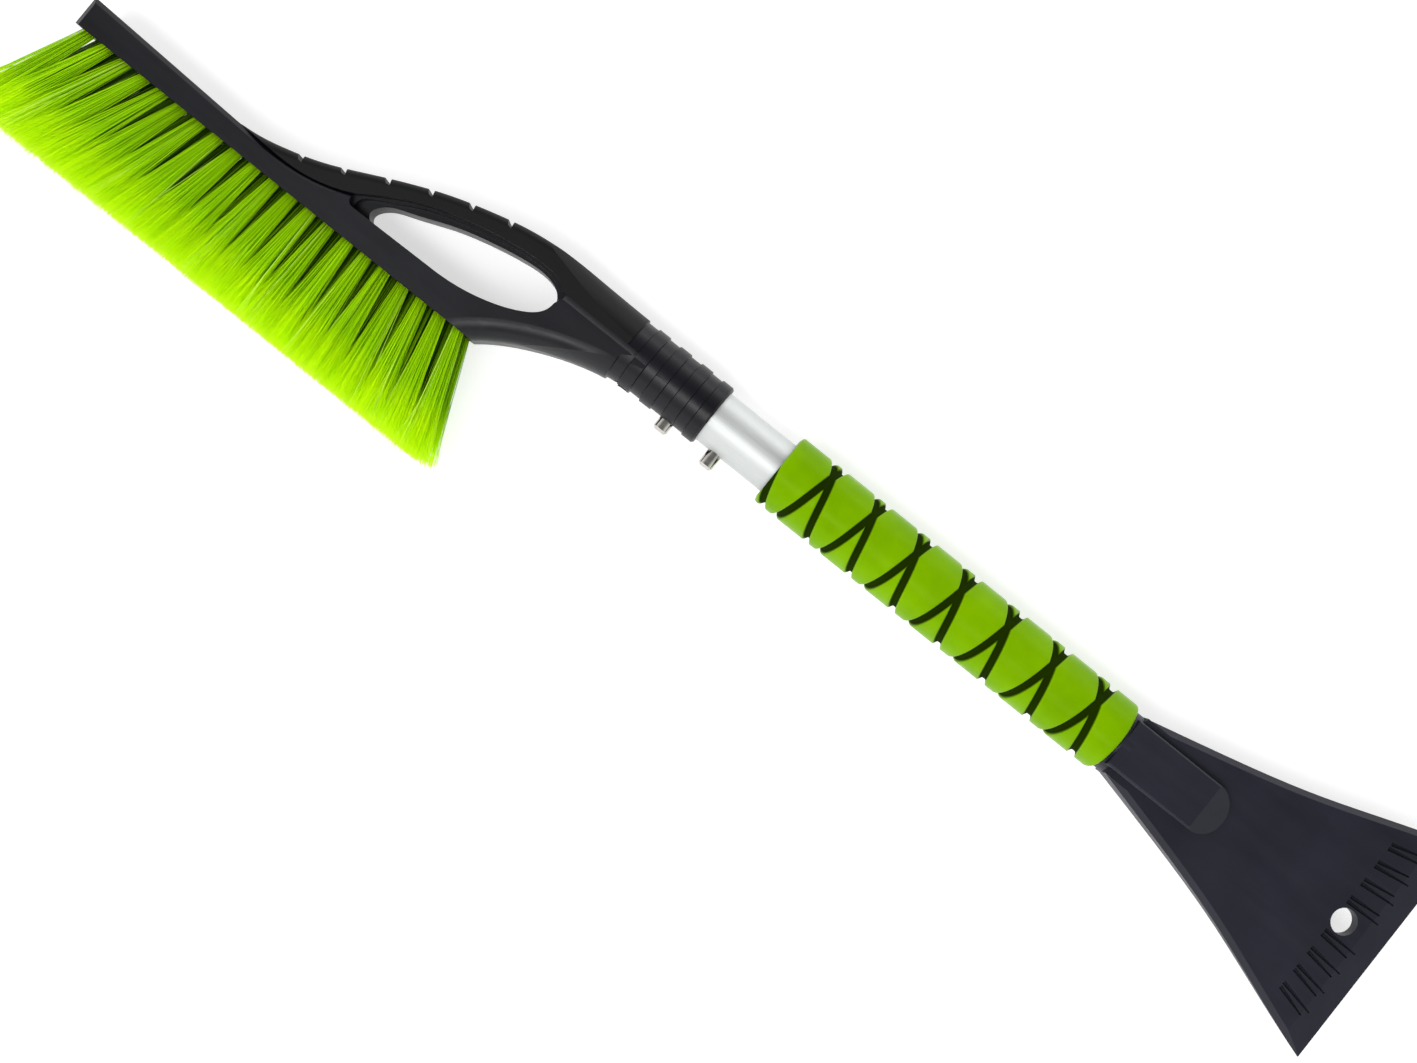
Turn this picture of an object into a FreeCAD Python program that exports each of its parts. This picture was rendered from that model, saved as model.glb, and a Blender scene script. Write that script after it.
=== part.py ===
"""Two-ended snow tool: a detachable, two-position brush head on an aluminium tube with a foam
grip and a moulded ice scraper.

Working frame while modelling: the tube's axis is the X axis, x = 0 at the brush bar's free end,
+X runs towards the scraper's edge, the bristles point along -Y, and Z is the thickness.
At the end every piece is shifted so that the origin is the bottom centre of the whole tool.
All sizes are millimetres.
"""
import FreeCAD, Part
import Sketcher
import math
import os

from FreeCAD import Placement, Rotation, Vector

X_DIR = Vector(1, 0, 0)
Y_DIR = Vector(0, 1, 0)
Z_DIR = Vector(0, 0, 1)

# Driving dimensions: alias, value, what it is.
DIMENSIONS = [
    ("tube_dia", 25.0, "tube outside diameter"),
    ("tube_wall", 1.5, "tube wall thickness"),
    ("tube_engaged", 52.0, "tube length inside the brush head, long setting"),
    ("tube_in_scraper", 44.0, "tube length inside the scraper socket"),
    ("head_length", 316.0, "brush bar's free end to the collar's mouth"),
    ("socket_depth", 79.0, "depth of the bore in the brush head"),
    ("bore_play", 0.05, "radial play of the tube in the brush head"),
    ("plug_flange", 1.4, "tube plug's flange thickness"),
    ("plug_length", 6.0, "tube plug's length inside the tube"),
    ("plug_taper", 1.5, "length of the tube plug's lead-in"),
    ("plug_lead_in", 0.6, "how far the lead-in narrows"),
    ("plug_rim_inset", 0.4, "plug flange inside the tube's outline"),
    ("grip_start", 352.0, "foam grip's brush end"),
    ("grip_length", 186.0, "foam grip length"),
    ("grip_dia", 34.6, "foam grip outside diameter"),
    ("core_dia", 30.0, "inner foam layer outside diameter"),
    ("grip_bevel", 1.6, "bevel at the foam's ends"),
    ("pin_dia", 7.0, "lock button diameter"),
    ("pin_reach", 20.0, "lock button tip above the tube's axis"),
    ("pin_base", 9.9, "underside of the lock button's stud above the axis"),
    ("pin_dome", 1.2, "edge radius on the lock button's tip"),
    ("pin_play", 0.05, "radial play of a button in the tube wall"),
    ("collar_pin_play", 0.45, "radial play of a button in the collar"),
    ("first_pin", 14.5, "collar mouth to the engaged button"),
    ("pin_pitch", 25.0, "distance between the two buttons"),
    ("rivet_dia", 3.0, "button's rivet tail diameter"),
    ("rivet_head_dia", 5.0, "button's rivet head diameter"),
    ("leaf_thickness", 0.9, "lock spring strip thickness"),
    ("leaf_width", 8.0, "lock spring strip width"),
    ("leaf_length", 27.0, "lock spring, button to the bend"),
    ("leaf_flat", 5.5, "half length of the spring's flats"),
    ("leaf_bend", 3.0, "radius of the lock spring's bend"),
    ("leaf_rest", 1.1, "far tube wall to the middle of the resting leg"),
    ("panel_thickness", 29.4, "thickness of the brush head's hard panel"),
    ("web_thickness", 12.0, "thickness of the hard core in the hand loop"),
    ("ledge_thickness", 20.0, "thickness of the step beside that core"),
    ("bar_foot", 40.3, "bristle face of the bar below the tube's axis"),
    ("bar_top", 26.5, "top of the bar's free end below the tube's axis"),
    ("bar_length", 215.0, "length of the bristle face"),
    ("bar_bevel", 2.4, "bevel along the top of the bar"),
    ("crease_depth", 0.7, "bevel of the hard panel beside the soft grip"),
    ("branch_round", 9.0, "round on the underside of the lower branch"),
    ("collar_dia", 29.8, "collar outside diameter"),
    ("collar_groove", 0.7, "depth of the collar's ring grooves"),
    ("collar_groove_width", 5.9, "width of the collar's ring grooves"),
    ("collar_groove_pitch", 11.7, "spacing of the collar's ring grooves"),
    ("collar_groove_first", 47.0, "collar mouth to the innermost groove's far side"),
    ("collar_chamfer", 0.8, "chamfer at the collar's mouth"),
    ("collar_root_wall", 1.6, "wall behind the bore's end"),
    ("skin_lead", 12.0, "soft skin's start behind the bore's end"),
    ("shoulder_groove", 1.1, "depth of the first ring groove where it crosses the lower branch"),
    ("skin_thickness", 1.8, "soft grip thickness over the collar"),
    ("grip_round", 3.5, "round along the soft grip's top edges"),
    ("grip_root", 82.0, "bar's free end to the start of the soft grip"),
    ("notch_depth", 3.4, "depth of the finger notches"),
    ("notch_width", 3.0, "width of the finger notches"),
    ("notch_first", 111.6, "bar's free end to the first notch's steep wall"),
    ("notch_pitch", 17.4, "spacing of the finger notches"),
    ("notch_count", 6, "finger notches"),
    ("tuft_dia", 5.2, "tuft diameter at the bar"),
    ("tuft_tip_dia", 6.4, "tuft diameter at the tip"),
    ("tuft_play", 0.05, "radial play of a tuft in its hole"),
    ("tuft_trim", 54.5, "bristle length below the bar"),
    ("tuft_seat", 6.2, "tuft length inside its hole"),
    ("tuft_hole_depth", 8.0, "depth of a tuft hole"),
    ("tuft_first", 6.5, "bar's free end to the first tuft"),
    ("tuft_span", 202.0, "first tuft to last tuft in an outer row"),
    ("tuft_count", 21, "tufts in an outer row"),
    ("row_pitch", 6.7, "distance between tuft rows"),
    ("row_splay", 0.03, "sideways lean of a tuft row per unit of its length"),
    ("staple_width", 4.0, "tuft staple width"),
    ("staple_height", 1.5, "tuft staple height"),
    ("staple_thickness", 0.5, "tuft staple thickness"),
    ("scraper_start", 538.4, "scraper neck's face"),
    ("scraper_end", 686.0, "scraper's edge"),
    ("neck_length", 5.2, "round neck of the scraper"),
    ("neck_dia", 29.8, "scraper neck diameter"),
    ("blade_width", 116.0, "width of the scraper's edge"),
    ("blade_root_half", 9.8, "half thickness of the blade at the neck"),
    ("boss_round", 1.2, "round along the boss's rim"),
    ("blade_tip_half", 3.2, "half thickness where the edge bevel starts"),
    ("blade_edge_half", 0.5, "half thickness of the scraping edge"),
    ("edge_bevel", 11.5, "length of the scraping edge's bevel"),
    ("side_bevel", 2.6, "bevel along the blade's sides"),
    ("boss_width", 23.4, "width of the raised socket boss"),
    ("boss_half", 14.8, "half thickness over the socket boss"),
    ("boss_length", 57.0, "neck face to the boss's round end"),
    ("boss_ramp", 12.0, "length of the slope at the boss's round end"),
    ("boss_ramp_end", 8.4, "half thickness at the foot of that slope"),
    ("hang_hole_dia", 12.0, "hanging hole"),
    ("hang_hole_inset", 21.5, "hanging hole to the scraping edge"),
    ("tooth_first", 7.8, "axis to the first ice groove"),
    ("tooth_pitch", 9.6, "spacing of the groove pairs"),
    ("tooth_gap", 2.4, "distance between a pair's two grooves"),
    ("tooth_width", 1.8, "ice groove width at its start"),
    ("tooth_tip_width", 0.6, "ice groove width towards the edge"),
    ("tooth_length", 17.5, "ice groove length"),
    ("tooth_depth", 1.6, "ice groove depth"),
    ("tooth_inset", 26.0, "grooves' start to the scraping edge"),
    ("screw_dia", 3.0, "scraper screw shank diameter"),
    ("screw_head_dia", 6.0, "scraper screw head diameter"),
    ("screw_head_height", 1.6, "scraper screw head height"),
    ("screw_slot_width", 0.8, "screwdriver slot width"),
    ("screw_slot_depth", 0.7, "screwdriver slot depth"),
    ("screw_bite", 1.5, "screw length inside the tube wall"),
    ("screw_first", 12.0, "neck face to the first scraper screw"),
    ("screw_pitch", 20.0, "distance between the scraper screws"),
]


class Size:
    """A length that carries its number and the spreadsheet expression behind it."""

    def __init__(self, value, text):
        self.value = value
        self.text = text

    def __add__(self, other):
        other = as_size(other)
        return Size(self.value + other.value, "(%s + %s)" % (self.text, other.text))

    def __sub__(self, other):
        other = as_size(other)
        return Size(self.value - other.value, "(%s - %s)" % (self.text, other.text))

    def __mul__(self, other):
        other = as_size(other)
        return Size(self.value * other.value, "(%s * %s)" % (self.text, other.text))

    def __truediv__(self, other):
        other = as_size(other)
        return Size(self.value / other.value, "(%s / %s)" % (self.text, other.text))

    def __neg__(self):
        return Size(-self.value, "(0 - %s)" % self.text)


def as_size(number):
    if isinstance(number, Size):
        return number
    return Size(float(number), "%.4f" % number)


class Sheet:
    """The spreadsheet of driving dimensions; sheet.tube_dia is a Size."""

    def __init__(self, doc):
        self.cells = doc.addObject("Spreadsheet::Sheet", "dims")
        self.cells.Label = "dims"
        for row, (alias, value, meaning) in enumerate(DIMENSIONS, start=1):
            self.cells.set("A%d" % row, alias)
            self.cells.set("B%d" % row, str(value))
            self.cells.set("C%d" % row, meaning)
            self.cells.setAlias("B%d" % row, alias)
        settle(doc)
        for alias, value, meaning in DIMENSIONS:
            setattr(self, alias, Size(float(self.cells.get(alias)), "<<dims>>.%s" % alias))


# ---------------------------------------------------------------- feature helpers

def settle(doc):
    """Recompute the document and stop at the first feature that failed."""
    doc.recompute()
    for item in doc.Objects:
        if "Invalid" in item.State or "Error" in item.State:
            raise ValueError("%s failed: %s" % (item.Name, item.getStatusString()))


def new_body(doc, label):
    body = doc.addObject("PartDesign::Body", label)
    body.Label = label
    return body


def origin_plane(body, role):
    return [plane for plane in body.Origin.OriginFeatures if plane.Role == role][0]


def new_sketch(body, name, role, offset=None):
    """Empty sketch on one of the body's own origin planes, lifted by offset along its normal."""
    sketch = body.newObject("Sketcher::SketchObject", name)
    sketch.AttachmentSupport = [(origin_plane(body, role), "")]
    sketch.MapMode = "FlatFace"
    if offset is not None:
        sketch.AttachmentOffset = Placement(Vector(0, 0, offset.value), Rotation())
        sketch.setExpression(".AttachmentOffset.Base.z", offset.text)
    return sketch


def hold_point(sketch, geometry, vertex, across, up):
    """Drive one sketch point from the sheet, measured from the sketch's origin."""
    for kind, size in (("DistanceX", across), ("DistanceY", up)):
        size = as_size(size)
        index = sketch.addConstraint(
            Sketcher.Constraint(kind, -1, 1, geometry, vertex, size.value))
        sketch.setExpression("Constraints[%d]" % index, size.text)


def add_polygon(sketch, corners):
    """Closed polygon whose corners are pairs of sizes."""
    values = [Vector(as_size(x).value, as_size(y).value, 0) for x, y in corners]
    count = len(corners)
    first = sketch.GeometryCount
    for k in range(count):
        sketch.addGeometry(Part.LineSegment(values[k], values[(k + 1) % count]), False)
    for k in range(count):
        sketch.addConstraint(
            Sketcher.Constraint("Coincident", first + k, 2, first + (k + 1) % count, 1))
    for k, (x, y) in enumerate(corners):
        hold_point(sketch, first + k, 1, x, y)


def add_circle(sketch, across, up, radius):
    across = as_size(across)
    up = as_size(up)
    circle = Part.Circle(Vector(across.value, up.value, 0), Z_DIR, radius.value)
    index = sketch.addGeometry(circle, False)
    hold_point(sketch, index, 3, across, up)
    size = sketch.addConstraint(Sketcher.Constraint("Radius", index, radius.value))
    sketch.setExpression("Constraints[%d]" % size, radius.text)


def add_edges(sketch, curves):
    """Closed outline from a chain of lines, arcs and splines that already meet end to end."""
    for curve in curves:
        sketch.addGeometry(curve, False)


def pad(body, sketch, name, length, midplane=False, reverse=False):
    feature = body.newObject("PartDesign::Pad", name)
    feature.Profile = sketch
    feature.Length = length.value
    feature.setExpression("Length", length.text)
    if midplane:
        feature.SideType = "Symmetric"
    feature.Reversed = reverse
    return feature


def cut_through(doc, body, sketch, name, length, direction):
    """Pocket of one length whose removed volume lies on the wanted side of its sketch."""
    before = body.Shape.Volume
    feature = body.newObject("PartDesign::Pocket", name)
    feature.Profile = sketch
    feature.Length = length.value
    feature.setExpression("Length", length.text)
    normal = sketch.Placement.Rotation.multVec(Z_DIR)
    feature.Reversed = normal.dot(direction) > 0
    settle(doc)
    if body.Shape.Volume >= before - 1e-6:
        raise ValueError("%s removed nothing" % name)
    return feature


def turn(body, sketch, name, angle=360.0, midplane=False, groove=False):
    """Revolve a sketch about the body's X axis."""
    kind = "PartDesign::Groove" if groove else "PartDesign::Revolution"
    feature = body.newObject(kind, name)
    feature.Profile = sketch
    feature.ReferenceAxis = (sketch, ["H_Axis"])
    feature.Angle = angle
    feature.Midplane = midplane
    return feature


def interpolate(points):
    """Smooth curve through a few hand-set points."""
    curve = Part.BSplineCurve()
    curve.interpolate([Vector(x, y, 0) for x, y in points])
    return curve


def line(start, end):
    return Part.LineSegment(Vector(start[0], start[1], 0), Vector(end[0], end[1], 0))


def height_at(curve, x):
    """Height of a curve above the X axis at x, by halving its parameter range."""
    low = curve.FirstParameter
    high = curve.LastParameter
    halvings = 40
    for step in range(halvings):
        middle = (low + high) / 2
        if curve.value(middle).x < x:
            low = middle
        else:
            high = middle
    return curve.value(low).y


def placed_feature(doc, label, shape):
    feature = doc.addObject("Part::Feature", label)
    feature.Label = label
    feature.Shape = shape
    return feature


# ---------------------------------------------------------------- the tool's long half

def make_handle_tube(doc, s):
    """Drawn aluminium tube with two button holes and two screw holes."""
    body = new_body(doc, "handle_tube")
    start = s.head_length - s.tube_engaged
    length = s.scraper_start + s.tube_in_scraper - start
    section = new_sketch(body, "tube_section", "YZ_Plane", start)
    add_circle(section, 0, 0, s.tube_dia / 2)
    add_circle(section, 0, 0, s.tube_dia / 2 - s.tube_wall)
    pad(body, section, "tube_length", length)
    settle(doc)
    holes = new_sketch(body, "button_holes", "XZ_Plane")
    for place in button_places(s):
        add_circle(holes, place, 0, s.pin_dia / 2 + s.pin_play)
    settle(doc)
    cut_through(doc, body, holes, "button_hole_cut", s.tube_dia, -Y_DIR)
    screw_holes = new_sketch(body, "screw_holes", "XY_Plane")
    for place in screw_places(s):
        add_circle(screw_holes, place, 0, s.screw_dia / 2)
    settle(doc)
    cut_through(doc, body, screw_holes, "screw_hole_cut", s.tube_dia, -Z_DIR)
    return body


def make_tube_plug(doc, s):
    """Plastic plug that closes the tube's cut end inside the brush head."""
    body = new_body(doc, "tube_plug")
    profile = new_sketch(body, "plug_profile", "XY_Plane")
    mouth = s.head_length - s.tube_engaged
    bore = s.tube_dia / 2 - s.tube_wall
    inner_end = mouth + s.plug_length
    rim = s.tube_dia / 2 - s.plug_rim_inset
    add_polygon(profile, [(mouth - s.plug_flange, 0), (inner_end, 0),
                          (inner_end, bore - s.plug_lead_in), (inner_end - s.plug_taper, bore),
                          (mouth, bore), (mouth, rim),
                          (mouth - s.plug_flange, rim - s.plug_rim_inset)])
    turn(body, profile, "plug_turned")
    return body


def make_foam_core(doc, s):
    """Dark inner layer of the grip, seen at the bottom of the grooves."""
    body = new_body(doc, "foam_core")
    profile = new_sketch(body, "core_profile", "XY_Plane")
    end = s.grip_start + s.grip_length
    add_polygon(profile, [(s.grip_start, s.tube_dia / 2), (end, s.tube_dia / 2),
                          (end, s.core_dia / 2), (s.grip_start, s.core_dia / 2)])
    turn(body, profile, "core_turned")
    return body


def make_foam_cover(doc, s):
    """Coloured outer layer of the grip, bevelled at both ends."""
    body = new_body(doc, "foam_cover")
    profile = new_sketch(body, "cover_profile", "XY_Plane")
    start = s.grip_start
    end = s.grip_start + s.grip_length
    inner = s.core_dia / 2
    outer = s.grip_dia / 2
    add_polygon(profile, [(start, inner), (end, inner), (end, outer - s.grip_bevel),
                          (end - s.grip_bevel, outer), (start + s.grip_bevel, outer),
                          (start, outer - s.grip_bevel)])
    turn(body, profile, "cover_turned")
    return body


def button_places(s):
    """Along the tube: the button in the collar's hole, then the free one."""
    engaged = s.head_length - s.first_pin
    return [engaged, engaged + s.pin_pitch]


def screw_places(s):
    first = s.scraper_start + s.screw_first
    return [first, first + s.screw_pitch]


def make_lock_button(doc, s, label):
    """Steel stud with a rounded tip and a rivet tail, turned about the Y axis at x = 0."""
    body = new_body(doc, label)
    profile = new_sketch(body, label + "_profile", "XY_Plane")
    stud = s.pin_dia / 2
    tail = s.rivet_dia / 2
    head = s.rivet_head_dia / 2
    under_leaf = -s.pin_base + s.leaf_thickness
    tail_end = under_leaf + s.leaf_thickness
    tip = -s.pin_reach
    add_polygon(profile, [(0, tip), (stud - s.pin_dome, tip), (stud, tip + s.pin_dome),
                          (stud, -s.pin_base), (tail, -s.pin_base), (tail, under_leaf),
                          (head, under_leaf), (head, tail_end), (0, tail_end)])
    feature = turn(body, profile, label + "_turned")
    feature.ReferenceAxis = (profile, ["V_Axis"])
    return body


def make_lock_spring(doc, s, label, towards):
    """V spring of bent strip: one leg carries the button, the other rests on the far wall.

    towards is -1 when the bend points to the brush and +1 when it points to the scraper.
    """
    half = s.leaf_thickness.value / 2
    inner_wall = s.tube_dia.value / 2 - s.tube_wall.value
    carry = -s.pin_base.value
    rest = inner_wall - s.leaf_rest.value
    flat = s.leaf_flat.value
    bend_radius = s.leaf_bend.value
    bend_x = s.leaf_length.value
    upper_start = Vector(-flat, carry, 0)
    upper_knee = Vector(flat, carry, 0)
    upper_end = Vector(bend_x, -bend_radius, 0)
    bend_middle = Vector(bend_x + bend_radius, 0, 0)
    lower_end = Vector(bend_x, bend_radius, 0)
    lower_knee = Vector(flat, rest, 0)
    lower_start = Vector(-flat, rest, 0)
    path = Part.Wire([Part.LineSegment(upper_start, upper_knee).toShape(),
                      Part.LineSegment(upper_knee, upper_end).toShape(),
                      Part.Arc(upper_end, bend_middle, lower_end).toShape(),
                      Part.LineSegment(lower_end, lower_knee).toShape(),
                      Part.LineSegment(lower_knee, lower_start).toShape()])
    strip = path.makeOffset2D(-2 * half, fill=True, openResult=True)
    width = s.leaf_width.value
    solid = strip.extrude(Vector(0, 0, width))
    solid.translate(Vector(0, 0, -width / 2))
    above = Vector(0, carry - s.leaf_thickness.value, 0)
    rivet_hole = Part.makeCylinder(s.rivet_dia.value / 2, 2 * s.leaf_thickness.value, above, Y_DIR)
    solid = solid.cut(rivet_hole)
    if towards < 0:
        solid = solid.mirror(Vector(0, 0, 0), X_DIR)
    return placed_feature(doc, label, solid)


# ---------------------------------------------------------------- scraper

def blade_half_width(s):
    """Concave side of the blade from the neck to the corner, as (x, half width)."""
    start = s.scraper_start.value + s.neck_length.value
    end = s.scraper_end.value
    root = s.neck_dia.value / 2
    tip = s.blade_width.value / 2
    run = end - start
    flare = tip - root
    return [(start, root), (start + 0.27 * run, root + 0.22 * flare),
            (start + 0.54 * run, root + 0.47 * flare), (start + 0.78 * run, root + 0.75 * flare),
            (end, tip)]


def make_scraper_blade(doc, s):
    """Moulded scraper: round neck, tapering fan blade, socket boss, hanging hole, ice grooves."""
    body = new_body(doc, "scraper_blade")
    neck_end = s.scraper_start + s.neck_length
    bevel_start = s.scraper_end - s.edge_bevel
    root = s.blade_root_half
    tip = s.blade_tip_half
    edge = s.blade_edge_half
    side = new_sketch(body, "blade_side_view", "XZ_Plane")
    add_polygon(side, [(neck_end - 1, -root), (bevel_start, -tip), (s.scraper_end, -edge),
                       (s.scraper_end, edge), (bevel_start, tip), (neck_end - 1, root)])
    pad(body, side, "blade_wedge", s.blade_width, midplane=True)
    settle(doc)
    plan = new_sketch(body, "blade_plan_view", "XY_Plane")
    upper = blade_half_width(s)
    lower = [(x, -y) for x, y in upper]
    reach = s.blade_width.value
    for side_points, sign in ((upper, 1), (lower, -1)):
        start = side_points[0]
        end = side_points[-1]
        before = (start[0] - 10, start[1])
        add_edges(plan, [line(before, start), interpolate(side_points),
                         line(end, (end[0] + 5, end[1])),
                         line((end[0] + 5, end[1]), (end[0] + 5, sign * reach)),
                         line((end[0] + 5, sign * reach), (before[0], sign * reach)),
                         line((before[0], sign * reach), before)])
    cut = body.newObject("PartDesign::Pocket", "blade_flare")
    cut.Profile = plan
    cut.Length = s.neck_dia.value
    cut.setExpression("Length", s.neck_dia.text)
    cut.SideType = "Symmetric"
    settle(doc)
    bevel_blade_sides(doc, body, s)
    boss = new_sketch(body, "boss_plan", "XY_Plane")
    half = s.boss_width.value / 2
    left = s.scraper_start.value + 1
    centre = s.scraper_start.value + s.boss_length.value - half
    bow = Part.Arc(Vector(centre, half, 0), Vector(centre + half, 0, 0), Vector(centre, -half, 0))
    add_edges(boss, [line((left, half), (centre, half)), bow,
                     line((centre, -half), (left, -half)), line((left, -half), (left, half))])
    pad(body, boss, "socket_boss", s.boss_half * 2, midplane=True)
    settle(doc)
    soften_boss(doc, body, s)
    ramp_boss_end(doc, body, s)
    neck = new_sketch(body, "neck_profile", "XY_Plane")
    add_polygon(neck, [(s.scraper_start, 0), (neck_end + 4, 0), (neck_end + 4, s.neck_dia / 2 - 2),
                       (neck_end, s.neck_dia / 2), (s.scraper_start, s.neck_dia / 2)])
    turn(body, neck, "neck_turned")
    settle(doc)
    socket = new_sketch(body, "socket_profile", "XY_Plane")
    mouth = s.scraper_start - 1
    floor = s.scraper_start + s.tube_in_scraper
    add_polygon(socket, [(mouth, 0), (floor, 0), (floor, s.tube_dia / 2), (mouth, s.tube_dia / 2)])
    turn(body, socket, "socket_bore", groove=True)
    settle(doc)
    hole = new_sketch(body, "hang_hole_plan", "XY_Plane", -s.neck_dia)
    add_circle(hole, s.scraper_end - s.hang_hole_inset, 0, s.hang_hole_dia / 2)
    settle(doc)
    cut_through(doc, body, hole, "hang_hole", s.neck_dia * 2, Z_DIR)
    cut_ice_grooves(doc, body, s)
    screws = new_sketch(body, "screw_plan", "XY_Plane", -s.boss_half)
    for place in screw_places(s):
        add_circle(screws, place, 0, s.screw_dia / 2)
    settle(doc)
    cut_through(doc, body, screws, "screw_clearance", s.boss_half - 4, Z_DIR)
    seats = new_sketch(body, "screw_seat_plan", "XY_Plane", -s.boss_half - 1)
    for place in screw_places(s):
        add_circle(seats, place, 0, s.screw_head_dia / 2)
    settle(doc)
    cut_through(doc, body, seats, "screw_seats", s.screw_head_height + 1, Z_DIR)
    return body


def long_edges(shape, wanted):
    """Names of the edges that a test picks."""
    return ["Edge%d" % (k + 1) for k, edge in enumerate(shape.Edges) if wanted(edge)]


def bevel_blade_sides(doc, body, s):
    """Bevel both faces of the blade along its concave sides."""
    def on_side(edge):
        middle = edge.valueAt((edge.FirstParameter + edge.LastParameter) / 2)
        long_enough = edge.Length > s.scraper_end.value * 0.1
        wide = abs(middle.y) > s.neck_dia.value / 2 + 1
        return long_enough and wide and abs(middle.z) > s.blade_tip_half.value * 0.9
    tip = body.Tip
    edges = long_edges(tip.Shape, on_side)
    bevel = body.newObject("PartDesign::Chamfer", "side_bevel_cut")
    bevel.Base = (tip, edges)
    bevel.Size = s.side_bevel.value
    bevel.setExpression("Size", s.side_bevel.text)
    settle(doc)


def soften_boss(doc, body, s):
    """Round the boss's flat top into its walls."""
    def on_rim(edge):
        middle = edge.valueAt((edge.FirstParameter + edge.LastParameter) / 2)
        on_top = abs(abs(middle.z) - s.boss_half.value) < 0.01
        return on_top and middle.x > s.scraper_start.value + s.neck_length.value
    tip = body.Tip
    edges = long_edges(tip.Shape, on_rim)
    rounding = body.newObject("PartDesign::Fillet", "boss_round")
    rounding.Base = (tip, edges)
    rounding.Radius = s.boss_round.value
    rounding.setExpression("Radius", s.boss_round.text)
    settle(doc)


def ramp_boss_end(doc, body, s):
    """Slope both faces of the boss down to the blade at its round end."""
    end = s.scraper_start + s.boss_length
    start = end - s.boss_ramp
    side = new_sketch(body, "boss_ramp_section", "XZ_Plane")
    clear = s.boss_half + 1
    for face in (1, -1):
        corners = [(start, s.boss_half), (end + 1, s.boss_ramp_end), (end + 1, clear), (start, clear)]
        add_polygon(side, [(x, as_size(y) * face) for x, y in corners])
    ramp = body.newObject("PartDesign::Pocket", "boss_ramp")
    ramp.Profile = side
    ramp.Length = s.boss_width.value + 2
    ramp.setExpression("Length", "%s + 2" % s.boss_width.text)
    ramp.SideType = "Symmetric"
    settle(doc)


def cut_ice_grooves(doc, body, s):
    """Pairs of shallow grooves that fan out towards the blade's corners on the front face."""
    drop = s.blade_tip_half + 1
    plan = new_sketch(body, "ice_groove_plan", "XY_Plane", drop)
    start = s.scraper_end.value - s.tooth_inset.value
    length = s.tooth_length.value
    half = s.tooth_width.value / 2
    tip_half = s.tooth_tip_width.value / 2
    for sign in (1, -1):
        for pair in range(4):
            inner = s.tooth_first.value + pair * s.tooth_pitch.value
            for lane in range(2):
                y = sign * (inner + lane * s.tooth_gap.value)
                angle = sign * math.radians(1.0 + 3.6 * pair + 4.0 * lane)
                along = Vector(math.cos(angle), math.sin(angle), 0)
                across = Vector(-along.y, along.x, 0)
                foot = Vector(start, y, 0)
                head = foot + along * (length * (1.0 - 0.12 * lane))
                corners = [foot - across * half, head - across * tip_half,
                           head + across * tip_half, foot + across * half]
                add_polygon(plan, [(c.x, c.y) for c in corners])
    settle(doc)
    depth = s.tooth_depth + 1
    cut_through(doc, body, plan, "ice_grooves", depth, -Z_DIR)


def make_scraper_screws(doc, s):
    """Two countersunk self-tapping screws through the socket's back wall into the tube."""
    solids = []
    back = -s.boss_half.value
    head_height = s.screw_head_height.value
    reach = s.tube_dia.value / 2 - s.tube_wall.value - s.screw_bite.value
    slot_width = s.screw_slot_width.value
    for place in screw_places(s):
        top = Vector(place.value, 0, back)
        head = Part.makeCylinder(s.screw_head_dia.value / 2, head_height, top, Z_DIR)
        shank = Part.makeCylinder(s.screw_dia.value / 2, -back - reach, top, Z_DIR)
        corner = Vector(place.value - s.screw_head_dia.value / 2, -slot_width / 2, back)
        slot = Part.makeBox(s.screw_head_dia.value, slot_width, s.screw_slot_depth.value, corner)
        solids.append(head.fuse(shank).cut(slot).removeSplitter())
    return placed_feature(doc, "scraper_screws", Part.makeCompound(solids))


# ---------------------------------------------------------------- bristles

def tuft_rows(s):
    """Row number to (z, list of x) for the four staggered rows."""
    count = int(s.tuft_count.value)
    step = s.tuft_span.value / (count - 1)
    rows = {}
    for row in range(4):
        z = (1.5 - row) * s.row_pitch.value
        outer = row in (0, 3)
        number = count if outer else count - 1
        shift = 0.0 if outer else step / 2
        rows[row + 1] = (z, [s.tuft_first.value + shift + k * step for k in range(number)])
    return rows


def fan_lean(s, x):
    """Sideways run of the tuft at x per millimetre of drop: the fan opens towards both ends."""
    fan = interpolate([(0.0, -0.33), (32.0, -0.42), (92.0, -0.15), (138.0, 0.0),
                       (s.bar_length.value, 0.40)])
    return height_at(fan, x)


def tuft_line(s, x, z):
    """Mouth point of a tuft's hole and the direction in which the tuft leaves it."""
    mouth = Vector(x, -s.bar_foot.value, z)
    splay = s.row_splay.value * z / s.row_pitch.value
    direction = Vector(fan_lean(s, x), -1.0, splay)
    direction.normalize()
    return mouth, direction


def tuft_solid(s, x, z):
    """Stub in the hole and a flaring tuft, long enough to reach the trim line."""
    mouth, direction = tuft_line(s, x, z)
    seat = s.tuft_seat.value
    radius = s.tuft_dia.value / 2
    length = s.tuft_trim.value / -direction.y
    stub = Part.makeCylinder(radius, seat, mouth - direction * seat, direction)
    flare = Part.makeCone(radius, s.tuft_tip_dia.value / 2, length, mouth, direction)
    return stub.fuse(flare).removeSplitter()


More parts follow.
